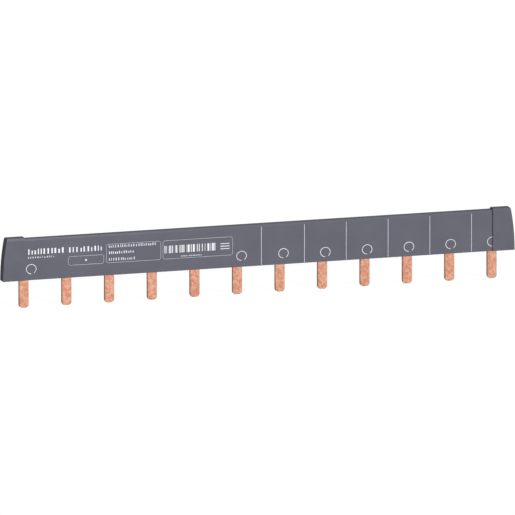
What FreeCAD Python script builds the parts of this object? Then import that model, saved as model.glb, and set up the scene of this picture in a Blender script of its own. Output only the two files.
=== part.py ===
import FreeCAD, Part
import Sketcher
import math
import os

# Comb busbar for a row of modular circuit breakers
#
# A stamped copper comb sits in an extruded plastic housing that is open along
# its underside. A moulded cap closes each end of the housing. The teeth point
# down and go into the breakers' terminals, one tooth to a module.
#
# Frame: X runs along the bar, the printed front faces -Y, Z is up. The origin
# is under the middle of the bar, level with the tips of the teeth.

SIZES = (
    # The copper comb
    ("module_pitch", "18", "from one tooth to the next, one module"),
    ("tooth_count", "12", "teeth, one for each module"),
    ("tooth_width", "4", "across the flat of a tooth"),
    ("tooth_free_length", "11.4", "bare copper under the housing"),
    ("tip_radius", "1.4", "rounding of a tooth's two lower corners"),
    ("strip_thickness", "1.5", "the copper strip that the comb is stamped from"),
    ("rail_height", "13.4", "the rail that joins the teeth"),
    ("rail_overhang", "1.5", "rail past the outer edge of an end tooth"),
    # The housing
    ("mouth_depth", "2.6", "from the housing's foot up to the rail"),
    ("slot_clearance", "0.05", "play on each side of the copper"),
    ("housing_wall", "0.9", "front and back wall"),
    ("housing_roof", "1", "plastic above the rail"),
    ("housing_bevel_depth", "0.25", "bevel along the two top edges, across the roof"),
    ("housing_bevel_height", "0.75", "bevel along the two top edges, down the walls"),
    ("housing_overhang", "4.5", "housing past the outer edge of an end tooth"),
    # The end caps
    ("cap_clearance", "0.05", "play between a cap and the housing"),
    ("cap_wall", "0.4", "front and back wall of a cap"),
    ("cap_roof", "0.5", "roof of a cap"),
    ("cap_length", "9.3", "along the bar, at the foot"),
    ("cap_end_wall", "2.7", "end wall of a cap, at the foot"),
    ("cap_end_radius", "90", "bow of the end wall as it leans in towards the top"),
    ("cap_corner_radius", "0.4", "rounding where the end meets the roof"),
    ("cap_bevel_depth", "0.35", "bevel along the two long edges, across the roof"),
    ("cap_bevel_height", "1.05", "bevel along the two long edges, down the walls"),
    ("tongue_gap", "0.5", "from the rail's end to the cap's tongue"),
)

# Places worked out from the sizes, as expressions. Half lengths and half
# depths are counted from the middle of the bar, heights from the tooth tips.
TOOTH_ROW = "((Sizes.tooth_count - 1) * Sizes.module_pitch)"
END_TOOTH = f"({TOOTH_ROW} / 2)"
END_TOOTH_EDGE = f"({END_TOOTH} + Sizes.tooth_width / 2)"

RAIL_END = f"({END_TOOTH_EDGE} + Sizes.rail_overhang)"
RAIL_FOOT = "(Sizes.tooth_free_length + Sizes.mouth_depth)"
RAIL_TOP = f"({RAIL_FOOT} + Sizes.rail_height)"

SLOT_HALF = "(Sizes.strip_thickness / 2 + Sizes.slot_clearance)"
HOUSING_HALF = f"({SLOT_HALF} + Sizes.housing_wall)"
HOUSING_FOOT = "(Sizes.tooth_free_length)"
HOUSING_TOP = f"({RAIL_TOP} + Sizes.housing_roof)"
HOUSING_END = f"({END_TOOTH_EDGE} + Sizes.housing_overhang)"

CAVITY_HALF = f"({HOUSING_HALF} + Sizes.cap_clearance)"
CAVITY_TOP = f"({HOUSING_TOP} + Sizes.cap_clearance)"
CAP_HALF = f"({CAVITY_HALF} + Sizes.cap_wall)"
CAP_TOP = f"({CAVITY_TOP} + Sizes.cap_roof)"
CAP_HEIGHT = f"({CAP_TOP} - {HOUSING_FOOT})"
CAP_END = f"({HOUSING_END} + Sizes.cap_end_wall)"
CAP_MOUTH = f"({CAP_END} - Sizes.cap_length)"
CAP_LEAN = f"(Sizes.cap_end_radius - sqrt(Sizes.cap_end_radius^2 - {CAP_HEIGHT}^2))"

TONGUE_TIP = f"({RAIL_END} + Sizes.tongue_gap)"
TONGUE_HALF = f"({SLOT_HALF} - Sizes.slot_clearance)"
TONGUE_TOP = f"({RAIL_TOP} - Sizes.slot_clearance)"

# Shapes that should touch differ by rounding alone below this length, in mm.
TOUCH = 1e-6


def make_sheet(doc):
    """Put the driving sizes in a sheet, with an alias and a note for each."""
    sheet = doc.addObject("Spreadsheet::Sheet", "Sizes")
    for row, (alias, value, note) in enumerate(SIZES, start=1):
        sheet.set(f"A{row}", note)
        sheet.set(f"B{row}", value)
        sheet.setAlias(f"B{row}", alias)
    doc.recompute()
    return sheet


def new_body(doc, label):
    """Start one sub-part of the busbar."""
    body = doc.addObject("PartDesign::Body", label)
    body.Label = label
    return body


def new_sketch(body, name, role, offset="0"):
    """Attach a sketch to one of the body's own planes, at an offset along its normal."""
    plane = next(item for item in body.Origin.OriginFeatures if item.Role == role)
    sketch = body.newObject("Sketcher::SketchObject", name)
    sketch.AttachmentSupport = [(plane, "")]
    sketch.MapMode = "FlatFace"
    sketch.setExpression("AttachmentOffset.Base.z", offset)
    return sketch


def arc_between(start, end, radius):
    """The short arc from start to end that turns left, as a convex outline does."""
    chord = end - start
    to_centre = math.sqrt(radius ** 2 - (chord.Length / 2) ** 2)
    left = FreeCAD.Vector(-chord.y, chord.x, 0).normalize()
    centre = (start + end) / 2 + left * to_centre
    angles = [math.atan2(point.y - centre.y, point.x - centre.x) for point in (start, end)]
    circle = Part.Circle(centre, FreeCAD.Vector(0, 0, 1), radius)
    return Part.ArcOfCircle(circle, angles[0], angles[1])


def draw_outline(sketch, corners):
    """Draw a closed outline, anticlockwise. A corner is an expression for its
    two coordinates, and a third for the radius where an arc leaves it."""
    first = sketch.GeometryCount
    points = [
        FreeCAD.Vector(sketch.evalExpression(corner[0]), sketch.evalExpression(corner[1]), 0)
        for corner in corners
    ]
    count = len(corners)
    for index, corner in enumerate(corners):
        start = points[index]
        end = points[(index + 1) % count]
        if len(corner) == 3:
            edge = arc_between(start, end, sketch.evalExpression(corner[2]))
        else:
            edge = Part.LineSegment(start, end)
        sketch.addGeometry(edge, False)
    for index in range(count):
        this = first + index
        following = first + (index + 1) % count
        sketch.addConstraint(Sketcher.Constraint("Coincident", this, 2, following, 1))
    for index, corner in enumerate(corners):
        place_corner(sketch, first + index, points[index], corner)


def place_corner(sketch, edge, point, corner):
    """Bind the start of an edge, and its radius if it is an arc, to the sheet."""
    for kind, value, expression in (
        ("DistanceX", point.x, corner[0]),
        ("DistanceY", point.y, corner[1]),
    ):
        number = sketch.addConstraint(Sketcher.Constraint(kind, -1, 1, edge, 1, value))
        sketch.setExpression(f"Constraints[{number}]", expression)
    if len(corner) == 3:
        radius = sketch.evalExpression(corner[2])
        number = sketch.addConstraint(Sketcher.Constraint("Radius", edge, radius))
        sketch.setExpression(f"Constraints[{number}]", corner[2])


def extrude(body, kind, name, sketch, length, both_ways=False, reverse=False):
    """Pad or pocket a sketch by a length, one way or evenly both ways."""
    feature = body.newObject(f"PartDesign::{kind}", name)
    feature.Profile = sketch
    feature.SideType = "Symmetric" if both_ways else "One side"
    feature.Reversed = reverse
    feature.setExpression("Length", length)
    return feature


def rectangle(left, right, foot, top):
    """Corners of a rectangle, anticlockwise from the lower left."""
    return [(left, foot), (right, foot), (right, top), (left, top)]


def make_copper_comb(doc):
    """The rail and its teeth, stamped from one flat strip of copper."""
    body = new_body(doc, "copper_comb")

    rail_sketch = new_sketch(body, "rail_outline", "XZ_Plane")
    draw_outline(rail_sketch, rectangle(f"-{RAIL_END}", RAIL_END, RAIL_FOOT, RAIL_TOP))
    extrude(body, "Pad", "rail", rail_sketch, "Sizes.strip_thickness", both_ways=True)

    left = f"(-{END_TOOTH} - Sizes.tooth_width / 2)"
    right = f"(-{END_TOOTH} + Sizes.tooth_width / 2)"
    tooth_sketch = new_sketch(body, "tooth_outline", "XZ_Plane")
    draw_outline(tooth_sketch, [
        (left, "Sizes.tip_radius", "Sizes.tip_radius"),
        (f"{left} + Sizes.tip_radius", "0"),
        (f"{right} - Sizes.tip_radius", "0", "Sizes.tip_radius"),
        (right, "Sizes.tip_radius"),
        (right, RAIL_FOOT),
        (left, RAIL_FOOT),
    ])
    tooth = extrude(body, "Pad", "tooth", tooth_sketch, "Sizes.strip_thickness", both_ways=True)

    row = body.newObject("PartDesign::LinearPattern", "tooth_row")
    row.Originals = [tooth]
    row.Direction = (tooth_sketch, ["H_Axis"])
    row.setExpression("Length", TOOTH_ROW)
    row.setExpression("Occurrences", "Sizes.tooth_count")
    body.Tip = row
    return body


def bevelled_top(half, top, depth, height):
    """Upper corners of a section with both top edges bevelled, anticlockwise."""
    return [
        (half, f"{top} - {height}"),
        (f"{half} - {depth}", top),
        (f"-{half} + {depth}", top),
        (f"-{half}", f"{top} - {height}"),
    ]


def make_housing(doc):
    """The insulating housing: an extrusion with a slot that opens downwards."""
    body = new_body(doc, "insulating_housing")
    section = new_sketch(body, "section", "YZ_Plane")
    draw_outline(section, [
        (f"-{HOUSING_HALF}", HOUSING_FOOT),
        (f"-{SLOT_HALF}", HOUSING_FOOT),
        (f"-{SLOT_HALF}", RAIL_TOP),
        (SLOT_HALF, RAIL_TOP),
        (SLOT_HALF, HOUSING_FOOT),
        (HOUSING_HALF, HOUSING_FOOT),
        *bevelled_top(HOUSING_HALF, HOUSING_TOP, "Sizes.housing_bevel_depth", "Sizes.housing_bevel_height"),
    ])
    extrude(body, "Pad", "extrusion", section, f"2 * {HOUSING_END}", both_ways=True)
    return body


def top_end_edge(shape):
    """Name of the straight edge across the bar where a cap's end meets its roof."""
    box = shape.BoundBox
    for number, edge in enumerate(shape.Edges, start=1):
        across = abs(edge.BoundBox.YLength - box.YLength) < TOUCH
        on_roof = abs(edge.BoundBox.ZMin - box.ZMax) < TOUCH
        at_end = edge.BoundBox.XMin > box.Center.x
        if across and on_roof and at_end:
            return f"Edge{number}"
    raise RuntimeError("the cap has no edge between its end and its roof")


def make_end_cap(doc, label, turn):
    """A moulded shoe that slides over the end of the housing. Both ends take the
    same moulding, so the left one is the right one turned half round."""
    body = new_body(doc, label)

    outline = new_sketch(body, "outline", "XZ_Plane")
    draw_outline(outline, [
        (CAP_MOUTH, HOUSING_FOOT),
        (CAP_END, HOUSING_FOOT, "Sizes.cap_end_radius"),
        (f"{CAP_END} - {CAP_LEAN}", CAP_TOP),
        (CAP_MOUTH, CAP_TOP),
    ])
    block = extrude(body, "Pad", "block", outline, f"2 * {CAP_HALF}", both_ways=True)
    doc.recompute()

    corner = body.newObject("PartDesign::Fillet", "corner")
    corner.Base = (block, [top_end_edge(block.Shape)])
    corner.setExpression("Radius", "Sizes.cap_corner_radius")

    bevels = new_sketch(body, "bevel_outlines", "YZ_Plane")
    draw_outline(bevels, [
        (f"{CAP_HALF} - Sizes.cap_bevel_depth", CAP_TOP),
        (CAP_HALF, f"{CAP_TOP} - Sizes.cap_bevel_height"),
        (CAP_HALF, CAP_TOP),
    ])
    draw_outline(bevels, [
        (f"-{CAP_HALF} + Sizes.cap_bevel_depth", CAP_TOP),
        (f"-{CAP_HALF}", CAP_TOP),
        (f"-{CAP_HALF}", f"{CAP_TOP} - Sizes.cap_bevel_height"),
    ])
    extrude(body, "Pocket", "bevels", bevels, CAP_END, reverse=True)

    cavity = new_sketch(body, "cavity_outline", "YZ_Plane", CAP_MOUTH)
    draw_outline(cavity, [
        (f"-{CAVITY_HALF}", HOUSING_FOOT),
        (CAVITY_HALF, HOUSING_FOOT),
        *bevelled_top(CAVITY_HALF, CAVITY_TOP, "Sizes.housing_bevel_depth", "Sizes.housing_bevel_height"),
    ])
    extrude(body, "Pocket", "cavity", cavity, f"{HOUSING_END} - {CAP_MOUTH}", reverse=True)

    tongue = new_sketch(body, "tongue_outline", "YZ_Plane", TONGUE_TIP)
    draw_outline(tongue, rectangle(f"-{TONGUE_HALF}", TONGUE_HALF, HOUSING_FOOT, TONGUE_TOP))
    extrude(body, "Pad", "tongue", tongue, f"{HOUSING_END} - {TONGUE_TIP}")

    body.Placement = FreeCAD.Placement(
        FreeCAD.Vector(0, 0, 0), FreeCAD.Rotation(FreeCAD.Vector(0, 0, 1), turn)
    )
    return body


def check(doc, parts):
    """Stop before anything is written if a feature failed or a solid is not whole."""
    for item in doc.Objects:
        if "Invalid" in item.State or "Error" in item.State:
            raise RuntimeError(f"{item.Name} failed: {item.State}")
    for part in parts:
        shape = part.Shape
        if shape.isNull() or not shape.isValid() or len(shape.Solids) != 1:
            raise RuntimeError(f"{part.Label} is not one valid solid")


def write(parts):
    """Write each sub-part to a file of its own and say how large it came out."""
    os.makedirs("parts", exist_ok=True)
    for part in parts:
        part.Shape.exportStep(f"parts/{part.Label}.step")
        box = part.Shape.BoundBox
        print(
            f"{part.Label}: {part.Shape.Volume:.2f} mm3, "
            f"x {box.XMin:.3f} to {box.XMax:.3f}, "
            f"y {box.YMin:.3f} to {box.YMax:.3f}, "
            f"z {box.ZMin:.3f} to {box.ZMax:.3f}"
        )


def main():
    doc = FreeCAD.newDocument("comb_busbar")
    make_sheet(doc)
    parts = [
        make_copper_comb(doc),
        make_housing(doc),
        make_end_cap(doc, "left_end_cap", 180),
        make_end_cap(doc, "right_end_cap", 0),
    ]
    doc.recompute()
    check(doc, parts)
    write(parts)


main()
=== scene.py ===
# %% [markdown]
# # Dressing a comb busbar
#
# A comb busbar feeds a row of circuit breakers. A copper comb sits in a grey
# plastic housing, and a moulded cap closes each end. The four solids come
# ready made, at their real size. This lesson gives them their surfaces, adds
# the print on the front, and sets up the light and the camera.

# %% Load the solids
import bpy
import bmesh
import math
import random
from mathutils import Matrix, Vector


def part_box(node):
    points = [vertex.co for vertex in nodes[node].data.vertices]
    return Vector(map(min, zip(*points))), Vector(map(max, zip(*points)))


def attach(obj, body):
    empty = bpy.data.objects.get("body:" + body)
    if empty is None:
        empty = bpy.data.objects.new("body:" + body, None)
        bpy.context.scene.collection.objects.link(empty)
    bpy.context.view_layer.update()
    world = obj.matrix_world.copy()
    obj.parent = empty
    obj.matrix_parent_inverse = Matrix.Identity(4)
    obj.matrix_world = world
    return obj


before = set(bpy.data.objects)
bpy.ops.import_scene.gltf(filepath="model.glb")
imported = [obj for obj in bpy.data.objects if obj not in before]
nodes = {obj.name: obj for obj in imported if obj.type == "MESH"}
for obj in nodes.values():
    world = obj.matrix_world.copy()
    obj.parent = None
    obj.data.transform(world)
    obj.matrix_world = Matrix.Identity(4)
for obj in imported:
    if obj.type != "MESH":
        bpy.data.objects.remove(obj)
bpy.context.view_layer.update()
print("solids:", ", ".join(sorted(nodes)))

# %% [markdown]
# Sizes on a part like this are read in millimetres, and Blender's scene is in
# metres, so one small value turns one into the other. The print, the camera
# and one of the lamps are placed by the front and the foot of the housing, so
# both are asked from the housing itself.

# %% Sizes
MM = 0.001

housing_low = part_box("insulating_housing")[0]
front = housing_low.y
foot = housing_low.z
print(f"front face at y = {front / MM:.2f} mm, foot at z = {foot / MM:.2f} mm")

# %% [markdown]
# Colours are easiest to name as the hex values that a screen shows. A shader
# works with linear light, so one function converts them. A second function
# adds a shader node: it takes the node's type, its settings and what feeds
# each of its sockets, and every material below is written with it.

# %% Colour and node helpers
def linear(hex_colour):
    """Turn an sRGB hex value such as #6b6b76 into linear red, green, blue and alpha."""
    channels = [int(hex_colour[i:i + 2], 16) / 255 for i in (1, 3, 5)]
    light = [c / 12.92 if c <= 0.04045 else ((c + 0.055) / 1.055) ** 2.4 for c in channels]
    return (*light, 1.0)


def add(tree, kind, settings=None, **sockets):
    """Add a node. Settings are its own properties. A socket's name has _ for a
    space, or _ before its number, and its value is a number, a colour or
    another node's output."""
    node = tree.nodes.new(kind)
    for name, value in (settings or {}).items():
        setattr(node, name, value)
    for name, value in sockets.items():
        key = int(name[1:]) if name[0] == "_" else name.replace("_", " ")
        if isinstance(value, bpy.types.NodeSocket):
            tree.links.new(value, node.inputs[key])
        else:
            node.inputs[key].default_value = value
    return node


def new_material(name):
    """An empty material: its node tree, and the output that a shader goes into."""
    material = bpy.data.materials.new(name)
    material.use_nodes = True
    tree = material.node_tree
    tree.nodes.clear()
    output = tree.nodes.new("ShaderNodeOutputMaterial")
    return material, tree, output


def ramp(tree, factor, *stops):
    """A colour ramp between (position, hex colour) stops."""
    node = add(tree, "ShaderNodeValToRGB", Fac=factor)
    elements = node.color_ramp.elements
    while len(elements) < len(stops):
        elements.new(0.5)
    for element, (position, colour) in zip(elements, stops):
        element.position = position
        element.color = linear(colour)
    return node.outputs["Color"]


print("grey of the housing in linear light:", [round(c, 3) for c in linear("#6b6b76")])

# %% [markdown]
# The camera stands to the left of the bar and a little above it, very far
# away, with a very long lens. From there parallel edges stay almost parallel,
# which is how a catalogue picture of a long thin part is usually taken. The
# lens follows from the distance and from how many millimetres the picture is
# wide at the bar.

# %% Camera
AZIMUTH = math.radians(-17.4)
ELEVATION = math.radians(11.64)
DISTANCE = 9.04
PICTURE_WIDTH = 207.9 * MM
SENSOR_WIDTH = 36.0
AIM_RIGHT = -0.294 * MM
AIM_UP = 2.99 * MM

back = Vector((
    math.sin(AZIMUTH) * math.cos(ELEVATION),
    -math.cos(AZIMUTH) * math.cos(ELEVATION),
    math.sin(ELEVATION),
))
right = Vector((math.cos(AZIMUTH), math.sin(AZIMUTH), 0))
up = back.cross(right)
aim = Vector((0, 0, foot)) + right * AIM_RIGHT + up * AIM_UP

camera_data = bpy.data.cameras.new("camera")
camera_data.sensor_width = SENSOR_WIDTH
camera_data.lens = SENSOR_WIDTH * DISTANCE / PICTURE_WIDTH
camera_data.clip_end = 3 * DISTANCE
camera = bpy.data.objects.new("camera", camera_data)
camera.location = aim + back * DISTANCE
camera.rotation_euler = (-back).to_track_quat("-Z", "Y").to_euler()
bpy.context.scene.collection.objects.link(camera)
bpy.context.scene.camera = camera
bpy.context.scene.view_settings.view_transform = "Standard"
print(f"lens {camera_data.lens:.0f} mm at {DISTANCE} m")

# %% [markdown]
# The background is plain white. The floor is a pale sheet that gets a light of
# its own, which only the camera and mirror-like surfaces see, and that lifts
# it to white. So the lamps can stay weak and the soft shadow of the teeth
# still shows.

# %% Floor
FLOOR_HALF = 6.0
FLOOR_LIFT = 0.92

floor_mesh = bpy.data.meshes.new("floor")
corners = [(x * FLOOR_HALF, y * FLOOR_HALF, 0) for x, y in ((-1, -1), (1, -1), (1, 1), (-1, 1))]
floor_mesh.from_pydata(corners, [], [(0, 1, 2, 3)])
floor = bpy.data.objects.new("floor", floor_mesh)
bpy.context.scene.collection.objects.link(floor)


def make_floor_material():
    """Pale matt paper, lifted to white for the camera and for reflections."""
    material, tree, output = new_material("paper_white_matt")
    path = add(tree, "ShaderNodeLightPath")
    seen = add(tree, "ShaderNodeMath", {"operation": "MAXIMUM"},
               _0=path.outputs["Is Camera Ray"], _1=path.outputs["Is Glossy Ray"])
    paper = add(tree, "ShaderNodeBsdfDiffuse", Color=linear("#7a7a7a"))
    lift = add(tree, "ShaderNodeMath", {"operation": "MULTIPLY"}, _0=seen.outputs[0], _1=FLOOR_LIFT)
    glow = add(tree, "ShaderNodeEmission", Color=linear("#ffffff"), Strength=lift.outputs[0])
    both = add(tree, "ShaderNodeAddShader", _0=paper.outputs[0], _1=glow.outputs[0])
    tree.links.new(both.outputs[0], output.inputs["Surface"])
    return material


floor_mesh.materials.append(make_floor_material())
print(f"floor: white paper, {2 * FLOOR_HALF:.0f} m wide")

# %% [markdown]
# Past the floor's edge the camera looks into the world, and the copper mirrors
# it, so it is white to the camera and to everything that mirrors or lets light
# through. What it gives to the surfaces as light is much weaker. A sky as
# bright as it looks would light all sides alike, and the bar would turn flat.

# %% World
WORLD_FILL = 0.3

world = bpy.data.worlds.new("studio")
world.use_nodes = True
bpy.context.scene.world = world
sky = world.node_tree
sky.nodes.clear()
path = add(sky, "ShaderNodeLightPath")
glossy = add(sky, "ShaderNodeMath", {"operation": "MAXIMUM"},
             _0=path.outputs["Is Glossy Ray"], _1=path.outputs["Is Transmission Ray"])
seen = add(sky, "ShaderNodeMath", {"operation": "MAXIMUM"},
           _0=path.outputs["Is Camera Ray"], _1=glossy.outputs[0])
strength = add(sky, "ShaderNodeMix", Factor=seen.outputs[0], A=WORLD_FILL, B=1.0)
background = add(sky, "ShaderNodeBackground", Color=linear("#ffffff"), Strength=strength.outputs[0])
sky_output = sky.nodes.new("ShaderNodeOutputWorld")
sky.links.new(background.outputs[0], sky_output.inputs["Surface"])
print(f"world: white to the camera, fill {WORLD_FILL}")

# %% [markdown]
# Two soft sun lamps with wide discs light the bar, so that the light is even
# along its whole length. The key comes from the front and somewhat from the
# right, and hardly from above: the front is the brightest side, the roof is a
# little darker, and the left end gets only what the pale surroundings give. A
# weaker one from behind keeps the back readable when the camera goes round.

# %% Key and back light
LAMP_DISC = math.radians(24)
lamps = (
    # name, direction that the light comes from, strength
    ("key", (0.5, -1.0, 0.1), 3.6),
    ("back_light", (1.0, 1.0, 0.05), 2.8),
)

for name, toward, strength in lamps:
    lamp_data = bpy.data.lights.new(name, "SUN")
    lamp_data.energy = strength
    lamp_data.angle = LAMP_DISC
    lamp = bpy.data.objects.new(name, lamp_data)
    lamp.rotation_euler = Vector(toward).to_track_quat("Z", "Y").to_euler()
    bpy.context.scene.collection.objects.link(lamp)
    print(f"{name} from {toward}, strength {strength}")

# %% [markdown]
# Along the top of the front runs a narrow bevel. On the photographed part it
# carries a pale streak that fades out towards the right. That is a lamp
# mirrored in the skin of the plastic, and only where the angle is right. So a
# small soft box hangs close to the left end, in the direction in which the
# bevel mirrors the camera. Only gloss sees it, so it adds no light of its own
# to the colours.

# %% Streak light
STREAK_FROM = (0.293, -0.869, 0.398)
STREAK_DISTANCE = 0.18
STREAK_START = Vector((-125 * MM, front, foot + 15 * MM))
STREAK_SIZE = (0.12, 0.1)
STREAK_POWER = 0.85

streak_data = bpy.data.lights.new("streak", "AREA")
streak_data.shape = "RECTANGLE"
streak_data.size, streak_data.size_y = STREAK_SIZE
streak_data.energy = STREAK_POWER
streak = bpy.data.objects.new("streak", streak_data)
streak.location = STREAK_START + Vector(STREAK_FROM) * STREAK_DISTANCE
streak.rotation_euler = Vector(STREAK_FROM).to_track_quat("Z", "Y").to_euler()
streak.visible_diffuse = False
bpy.context.scene.collection.objects.link(streak)
print("streak light at", [round(v, 3) for v in streak.location])

# %% [markdown]
# Both plastics have a weak skin. It is what makes them look like plastic and
# not like paint: a thin coat, smoother than the rough base below it, that
# answers the streak light. It could be a second shader mixed over the first,
# but the Principled shader has a coat for just this. The base has hardly any
# gloss of its own, because seen at a flat angle it would mirror the white
# studio and turn the roof pale. The grain of neither plastic is high enough to
# be measured in a photograph, so both get the same small height.

# %% Skin of the plastics
BASE_GLOSS = 0.03
SKIN_WEIGHT = 0.06
SKIN_ROUGHNESS = 0.35
GRAIN_HEIGHT_MM = 0.02
print(f"skin of weight {SKIN_WEIGHT} over a base of gloss {BASE_GLOSS}")

# %% [markdown]
# The housing is extruded from a rigid slate-grey plastic, most likely PVC.
# Extrusion leaves very faint lines along the bar, where the die dragged, and
# a dull surface with a fine grain. The lines are noise that is stretched
# along X, half a millimetre apart, drawn coarser than the real ones so that
# they show at all. A very wide noise lets the grey drift a little.

# %% Extruded PVC
GRAIN_MM = 0.25
DIE_LINE_MM = 0.5
DIE_LINE_STRETCH = 0.02
DRIFT_MM = 14


def make_housing_material():
    """Extruded PVC: dull, with a weak skin and faint die lines along the bar."""
    material, tree, output = new_material("pvc_slate_extruded")
    place = add(tree, "ShaderNodeTexCoord").outputs["Object"]
    along = add(tree, "ShaderNodeMapping", Vector=place, Scale=(DIE_LINE_STRETCH, 1, 1))
    lines = add(tree, "ShaderNodeTexNoise", Vector=along.outputs[0], Scale=1 / (DIE_LINE_MM * MM), Detail=2.0)
    grain = add(tree, "ShaderNodeTexNoise", Vector=place, Scale=1 / (GRAIN_MM * MM), Detail=3.0)
    drift = add(tree, "ShaderNodeTexNoise", Vector=place, Scale=1 / (DRIFT_MM * MM), Detail=2.0)
    colour = ramp(tree, drift.outputs["Fac"], (0.3, "#666671"), (0.7, "#6b6b77"))
    rough = add(tree, "ShaderNodeMapRange", Value=lines.outputs["Fac"], To_Min=0.6, To_Max=0.72)
    bump = add(tree, "ShaderNodeBump", Height=grain.outputs["Fac"], Strength=0.08,
               Distance=GRAIN_HEIGHT_MM * MM)
    bump = add(tree, "ShaderNodeBump", Height=lines.outputs["Fac"], Strength=0.12,
               Distance=GRAIN_HEIGHT_MM * MM, Normal=bump.outputs[0])
    shader = add(tree, "ShaderNodeBsdfPrincipled", Base_Color=colour, Roughness=rough.outputs[0],
                 Specular_IOR_Level=BASE_GLOSS, Coat_Weight=SKIN_WEIGHT, Coat_Roughness=SKIN_ROUGHNESS,
                 Normal=bump.outputs[0])
    tree.links.new(shader.outputs[0], output.inputs["Surface"])
    return material


nodes["insulating_housing"].data.materials.clear()
nodes["insulating_housing"].data.materials.append(make_housing_material())
print("housing: extruded PVC")

# %% [markdown]
# The caps are injection moulded, most likely from ABS, in nearly the same
# grey. A mould that was eroded by spark gives a fine, even, dull grain with no
# direction, a little rougher than the extrusion. The skin over it is the same.

# %% Moulded caps
MOULD_GRAIN_MM = 0.2
MOULD_DRIFT_MM = 6


def make_cap_material():
    """Moulded ABS with a fine spark-eroded grain."""
    material, tree, output = new_material("abs_slate_moulded")
    place = add(tree, "ShaderNodeTexCoord").outputs["Object"]
    grain = add(tree, "ShaderNodeTexNoise", Vector=place, Scale=1 / (MOULD_GRAIN_MM * MM), Detail=3.0)
    drift = add(tree, "ShaderNodeTexNoise", Vector=place, Scale=1 / (MOULD_DRIFT_MM * MM), Detail=2.0)
    colour = ramp(tree, drift.outputs["Fac"], (0.3, "#64656e"), (0.7, "#696a74"))
    rough = add(tree, "ShaderNodeMapRange", Value=grain.outputs["Fac"], To_Min=0.64, To_Max=0.76)
    bump = add(tree, "ShaderNodeBump", Height=grain.outputs["Fac"], Strength=0.15,
               Distance=GRAIN_HEIGHT_MM * MM)
    shader = add(tree, "ShaderNodeBsdfPrincipled", Base_Color=colour, Roughness=rough.outputs[0],
                 Specular_IOR_Level=BASE_GLOSS, Coat_Weight=SKIN_WEIGHT, Coat_Roughness=SKIN_ROUGHNESS,
                 Normal=bump.outputs[0])
    tree.links.new(shader.outputs[0], output.inputs["Surface"])
    return material


cap_material = make_cap_material()
for name in ("left_end_cap", "right_end_cap"):
    nodes[name].data.materials.clear()
    nodes[name].data.materials.append(cap_material)
print("caps: moulded ABS")

# %% [markdown]
# The comb is stamped from rolled copper strip and left bare. Up close such
# copper isn't even: it is mottled, in spots around half a millimetre across
# and wider patches, and its hue drifts between a redder and a browner tone.
# Two colour ramps share one mottle, half patches and half spots, and a third
# noise mixes the ramps. Every noise has finer ones on top of it, so that the
# spots have broken edges when they are seen close. A mix of noises stays near
# 0.5, so the ramps are narrow.
#
# The narrow sides, where the punch sheared the strip, are rougher. Their darker
# base colour is painted shade, which stands in for the shade the sides lie in,
# so the way a surface faces picks between the two finishes. Copper is a
# metal: its colour sits in the base colour, and its IOR is left alone.

# %% Rolled copper
PATCH_MM = 1.3
SPOT_MM = 0.5
HUE_MM = 0.9
MOTTLE_HEIGHT_MM = 0.06
MOTTLE_STOPS = (0.445, 0.5, 0.555)
REDDER = ("#ae7158", "#b67e66", "#c08b74")
BROWNER = ("#a3745f", "#ac816d", "#b58e7b")
SIDE_FACING = 0.6
FRONT_FACING = 0.85


def make_copper_material():
    """Bare rolled copper: mottled faces with a soft shine, and rough sheared sides whose darker base colour
    is painted shade.
    """
    material, tree, output = new_material("copper_rolled_bare")
    coordinates = add(tree, "ShaderNodeTexCoord")
    place = coordinates.outputs["Object"]
    patches = add(tree, "ShaderNodeTexNoise", Vector=place, Scale=1 / (PATCH_MM * MM), Detail=4.0)
    spots = add(tree, "ShaderNodeTexNoise", Vector=place, Scale=1 / (SPOT_MM * MM), Detail=6.0,
                Roughness=0.65)
    mottle = add(tree, "ShaderNodeMix", Factor=0.5, A=patches.outputs["Fac"], B=spots.outputs["Fac"])
    redder = ramp(tree, mottle.outputs[0], *zip(MOTTLE_STOPS, REDDER))
    browner = ramp(tree, mottle.outputs[0], *zip(MOTTLE_STOPS, BROWNER))
    hue = add(tree, "ShaderNodeTexNoise", Vector=place, Scale=1 / (HUE_MM * MM), Detail=4.0)
    tint = add(tree, "ShaderNodeMapRange", Value=hue.outputs["Fac"], From_Min=0.41, From_Max=0.59)
    rolled = add(tree, "ShaderNodeMix", {"data_type": "RGBA"}, _0=tint.outputs[0], _6=redder, _7=browner)

    facing = add(tree, "ShaderNodeSeparateXYZ", Vector=coordinates.outputs["Normal"])
    flat = add(tree, "ShaderNodeMath", {"operation": "ABSOLUTE"}, _0=facing.outputs["Y"])
    is_face = add(tree, "ShaderNodeMapRange", Value=flat.outputs[0],
                  From_Min=SIDE_FACING, From_Max=FRONT_FACING)
    # Painted shade: faces that turn away from front and back get this darker base colour in place of the
    # shade on the sides.
    painted_side_shade = ramp(tree, spots.outputs["Fac"], (0.3, "#725546"), (0.7, "#826252"))
    colour = add(tree, "ShaderNodeMix", {"data_type": "RGBA"},
                 _0=is_face.outputs[0], _6=painted_side_shade, _7=rolled.outputs[2])

    rough_spots = add(tree, "ShaderNodeMapRange", Value=spots.outputs["Fac"], To_Min=0.2, To_Max=0.28)
    rough = add(tree, "ShaderNodeMapRange", Value=flat.outputs[0],
                From_Min=SIDE_FACING, From_Max=FRONT_FACING, To_Min=0.6, To_Max=rough_spots.outputs[0])
    bump = add(tree, "ShaderNodeBump", Height=mottle.outputs[0], Strength=0.3,
               Distance=MOTTLE_HEIGHT_MM * MM)
    shader = add(tree, "ShaderNodeBsdfPrincipled", Base_Color=colour.outputs[2], Metallic=1.0,
                 Roughness=rough.outputs[0], Normal=bump.outputs[0])
    tree.links.new(shader.outputs[0], output.inputs["Surface"])
    return material


nodes["copper_comb"].data.materials.clear()
nodes["copper_comb"].data.materials.append(make_copper_material())
print("comb: rolled copper")

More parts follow.
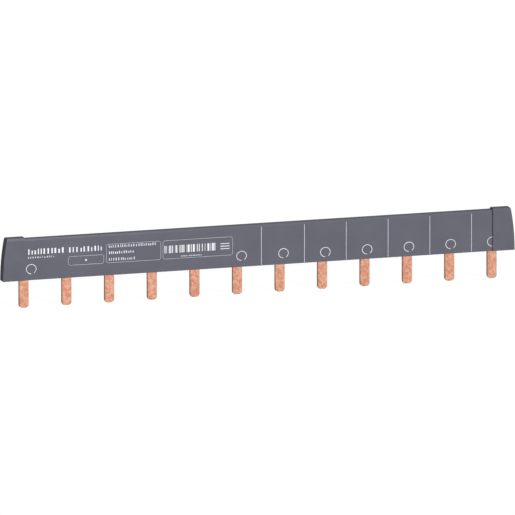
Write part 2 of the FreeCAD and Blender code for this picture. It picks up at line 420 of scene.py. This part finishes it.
# %% [markdown]
# No real edge is perfectly sharp: the plastic's are rounded by less than a
# tenth of a millimetre, and the copper's, which are tumbled after stamping, by
# about two tenths. A Weld modifier joins the split corners that the solids
# came with. Their flat faces are cut into triangles, and a bevel stops at the
# nearest triangle, so a planar Decimate makes each flat face one piece first.
# Then Bevel rounds the edges. Its angle is small enough to take in the two
# shallow edges of the long bevels, 18 degrees each: without them the shading
# would run from the roof right down to the front. Weighted Normal then keeps
# the large faces flat. The meshes themselves stay as they are.

# %% Soften the edges
EDGE_MM = {
    "insulating_housing": 0.08,
    "left_end_cap": 0.08,
    "right_end_cap": 0.08,
    "copper_comb": 0.18,
}
WELD_MM = 0.001
FLAT_ANGLE = math.radians(0.5)
EDGE_ANGLE = math.radians(16)
EDGE_STEPS = 3

for name, width in EDGE_MM.items():
    weld = nodes[name].modifiers.new("weld", "WELD")
    weld.merge_threshold = WELD_MM * MM
    planar = nodes[name].modifiers.new("flat_faces_as_one", "DECIMATE")
    planar.decimate_type = "DISSOLVE"
    planar.angle_limit = FLAT_ANGLE
    bevel = nodes[name].modifiers.new("soft_edges", "BEVEL")
    bevel.width = width * MM
    bevel.segments = EDGE_STEPS
    bevel.angle_limit = EDGE_ANGLE
    normals = nodes[name].modifiers.new("flat_faces", "WEIGHTED_NORMAL")
    normals.keep_sharp = False
    normals.mode = "FACE_AREA_WITH_ANGLE"
print("edges softened on", len(EDGE_MM), "solids")

# %% [markdown]
# The front carries a thin pale print: open rings that mark the modules, thin
# lines between some of them, and a label. It could be a picture laid on the
# front, but shapes stay sharp however close the camera comes. So each mark is
# drawn in the plane of the front, as a list of quads in millimetres from the
# middle of the bar and from the housing's foot. A block is one quad. All else
# is a band between two lines of points: two arcs for a ring, and two rounded
# rectangles for a frame.

# %% Drawing with quads
def block(left, low, right_side, high):
    """One rectangle as a single quad."""
    return [[(left, low), (right_side, low), (right_side, high), (left, high)]]


def band(inner, outer, closed=False):
    """Quads between two lines of points."""
    count = len(inner) if closed else len(inner) - 1
    quads = []
    for i in range(count):
        j = (i + 1) % len(inner)
        quads.append([inner[i], outer[i], outer[j], inner[j]])
    return quads


def ring(x, z, half_width, half_height, stroke, start, end, steps=48):
    """A ring of ink from one angle to another, in degrees."""
    lines = []
    for shift in (-stroke / 2, stroke / 2):
        turns = [math.radians(start + (end - start) * i / steps) for i in range(steps + 1)]
        lines.append([
            (x + (half_width + shift) * math.cos(t), z + (half_height + shift) * math.sin(t))
            for t in turns
        ])
    return band(*lines)


def rounded(left, low, right_side, high, radius, steps=6):
    """Points of a rectangle with rounded corners, anticlockwise."""
    points = []
    centres = (
        (right_side - radius, low + radius, -90),
        (right_side - radius, high - radius, 0),
        (left + radius, high - radius, 90),
        (left + radius, low + radius, 180),
    )
    for x, z, start in centres:
        for i in range(steps + 1):
            turn = math.radians(start + 90 * i / steps)
            points.append((x + radius * math.cos(turn), z + radius * math.sin(turn)))
    return points


def outline(left, low, right_side, high, radius, stroke):
    """A rounded frame drawn with one thin line."""
    half = stroke / 2
    inside = rounded(left + half, low + half, right_side - half, high - half, radius - half)
    outside = rounded(left - half, low - half, right_side + half, high + half, radius + half)
    return band(inside, outside, closed=True)


print("shapes to print: block, ring, outline")

# %% [markdown]
# Ink lies on plastic as a film, so the quads of each mark are joined and then
# raised by a very small height. Their underside is sunk a little into the
# front, so that no gap shows at a flat angle. The ink was put on with a soft
# pad. It is pale and matt, and slightly uneven where the pad left it thin.

# %% Raised ink
INK_HEIGHT_MM = 0.03
INK_SUNK_MM = 0.01
INK_JOIN_MM = 0.0005
INK_PATCH_MM = 0.6


def print_on_front(name, quads, material):
    """Turn quads into one piece of raised ink that rides on the busbar."""
    shape = bmesh.new()
    for quad in quads:
        corners = [shape.verts.new((x * MM, front + INK_SUNK_MM * MM, foot + z * MM)) for x, z in quad]
        shape.faces.new(corners)
    bmesh.ops.remove_doubles(shape, verts=shape.verts, dist=INK_JOIN_MM * MM)
    grown = bmesh.ops.extrude_face_region(shape, geom=shape.faces[:])
    raised = [item for item in grown["geom"] if isinstance(item, bmesh.types.BMVert)]
    bmesh.ops.translate(shape, verts=raised, vec=(0, -(INK_HEIGHT_MM + INK_SUNK_MM) * MM, 0))
    bmesh.ops.recalc_face_normals(shape, faces=shape.faces[:])
    mesh = bpy.data.meshes.new(name)
    shape.to_mesh(mesh)
    shape.free()
    mesh.materials.append(material)
    piece = bpy.data.objects.new(name, mesh)
    bpy.context.scene.collection.objects.link(piece)
    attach(piece, "root")
    print(f"{name}: {len(mesh.polygons)} faces")


def make_ink_material():
    """Pad-printed ink: pale, matt, slightly uneven where the pad left it thin."""
    material, tree, output = new_material("ink_pale_printed")
    place = add(tree, "ShaderNodeTexCoord").outputs["Object"]
    patches = add(tree, "ShaderNodeTexNoise", Vector=place, Scale=1 / (INK_PATCH_MM * MM), Detail=2.0)
    colour = ramp(tree, patches.outputs["Fac"], (0.35, "#ececf2"), (0.65, "#f6f6fa"))
    shader = add(tree, "ShaderNodeBsdfPrincipled", Base_Color=colour, Roughness=0.6, IOR=1.5)
    tree.links.new(shader.outputs[0], output.inputs["Surface"])
    return material


ink = make_ink_material()
print(f"ink: a film of {INK_HEIGHT_MM} mm")

# %% [markdown]
# The rings mark the modules. They were printed a little closer together than
# the teeth stand, so they start to the right of the first tooth and end right
# over the last one, where the cap covers half of the ring. Each has a gap at
# the lower right. Four modules have none, because the label is there. The
# rings from the eighth module on sit a little lower, as if the print had been
# put on in two goes.

# %% Module rings
RING_PITCH = 17.73
FIRST_RING = -96.23
RING_HALF_WIDTH = 2.06
RING_HALF_HEIGHT = 1.91
RING_STROKE = 0.225
RING_GAP = (-92, -55)
RINGED_MODULES = (0, 5, 6, 7, 8, 9, 10, 11)
FIRST_LOW_MODULE = 7
RING_HEIGHT_LEFT = 4.55
RING_HEIGHT_RIGHT = 3.94

ring_quads = []
for module in RINGED_MODULES:
    height = RING_HEIGHT_LEFT if module < FIRST_LOW_MODULE else RING_HEIGHT_RIGHT
    ring_quads += ring(FIRST_RING + RING_PITCH * module, height, RING_HALF_WIDTH, RING_HALF_HEIGHT,
                       RING_STROKE, RING_GAP[1], RING_GAP[0] + 360)
print_on_front("module_rings", ring_quads, ink)

# %% [markdown]
# A thin upright line stands halfway from one module's ring to the next, where
# the label leaves room for it. It nearly spans the front, and a single block
# is all that it needs. The first one is half a millimetre left of halfway.

# %% Module lines
LINE_WIDTH = 0.15
LINE_FOOT = 0.3
LINE_TOP = 16.0
LINED_MODULES = range(5, 11)
FIRST_LINE_SHIFT = -0.5

line_quads = []
for module in LINED_MODULES:
    middle = FIRST_RING + RING_PITCH * (module + 0.5)
    if module == LINED_MODULES[0]:
        middle += FIRST_LINE_SHIFT
    line_quads += block(middle - LINE_WIDTH / 2, LINE_FOOT, middle + LINE_WIDTH / 2, LINE_TOP)
print_on_front("module_lines", line_quads, ink)

# %% [markdown]
# The label is three rounded frames, drawn with a line that is finer than all
# the rest of the print. Each is the band between a rounded rectangle and a
# slightly larger one around it, so the line keeps its width at the corners.

# %% Label frames
FRAME_STROKE = 0.075
FRAME_RADIUS = 0.9
label_frames = (
    # left, low, right, high
    (-80.65, 5.1, -65.71, 8.64),
    (-64.6, 5.12, -41.69, 12.74),
    (-40.75, 5.2, -11.37, 12.7),
)

frame_quads = []
for left, low, right_side, high in label_frames:
    frame_quads += outline(left, low, right_side, high, FRAME_RADIUS, FRAME_STROKE)
print_on_front("label_frames", frame_quads, ink)

# %% [markdown]
# What the label holds is kept generic and reads as nothing: rows of short
# upright blocks, one small block and three level bars. The widths and gaps in
# a row come from a seeded random draw, so every run draws the same marks. Some
# blocks are a quarter lower than the rest, which gives a row the uneven look
# of fine print from afar.

# %% Label marks
BLOCK_VARIES = (0.7, 1.3)
BLOCK_LOWER_BY = (0, 0, 0.25)
block_rows = (
    # left, right, low, high, width of a block, share of ink
    (-97.5, -82.6, 10.5, 12.7, 0.6, 0.38),
    (-97.5, -86.0, 8.9, 9.6, 0.25, 0.26),
    (-80.3, -66.5, 10.4, 12.5, 0.5, 0.33),
    (-63.5, -43.3, 11.25, 12.35, 0.3, 0.32),
    (-63.5, -52.6, 8.7, 9.8, 0.32, 0.36),
    (-63.5, -52.6, 5.95, 7.05, 0.3, 0.32),
    (-33.1, -24.3, 5.8, 6.3, 0.22, 0.4),
)
SMALL_BLOCK = (-73.5, 6.5, -72.9, 7.3)
BAR_LEFT = -16.5
BAR_RIGHT = -12.7
BAR_FEET = (7.8, 8.85, 9.9)
BAR_THICKNESS = 0.3

draw = random.Random(7)


def row_of_blocks(left, right_side, low, high, width, share):
    """Upright blocks side by side. Widths and gaps are drawn at random around
    one width, so that the blocks fill their share of the row."""
    quads = []
    x = left
    while x < right_side - width / 2:
        stroke = width * draw.uniform(*BLOCK_VARIES)
        top = high - draw.choice(BLOCK_LOWER_BY) * (high - low)
        quads += block(x, low, min(x + stroke, right_side), top)
        x += stroke + width * draw.uniform(*BLOCK_VARIES) * (1 - share) / share
    return quads


mark_quads = []
for row in block_rows:
    mark_quads += row_of_blocks(*row)
mark_quads += block(*SMALL_BLOCK)
for low in BAR_FEET:
    mark_quads += block(BAR_LEFT, low, BAR_RIGHT, low + BAR_THICKNESS)
print_on_front("label_marks", mark_quads, ink)

# %% [markdown]
# The third frame holds a field of upright stripes. The same random draw picks
# each width and each gap from a few, so the field is busy and says nothing.

# %% Label stripes
STRIPES_LEFT = -40.1
STRIPES_RIGHT = -18.2
STRIPE_FOOT = 7.5
STRIPE_TOP = 10.6
STRIPE_WIDTHS = (0.2, 0.35, 0.5, 0.8)
STRIPE_GAPS = (0.25, 0.4, 0.5, 0.9)

stripe_quads = []
x = STRIPES_LEFT
while x < STRIPES_RIGHT:
    width = draw.choice(STRIPE_WIDTHS)
    stripe_quads += block(x, STRIPE_FOOT, x + width, STRIPE_TOP)
    x += width + draw.choice(STRIPE_GAPS)
print_on_front("label_stripes", stripe_quads, ink)
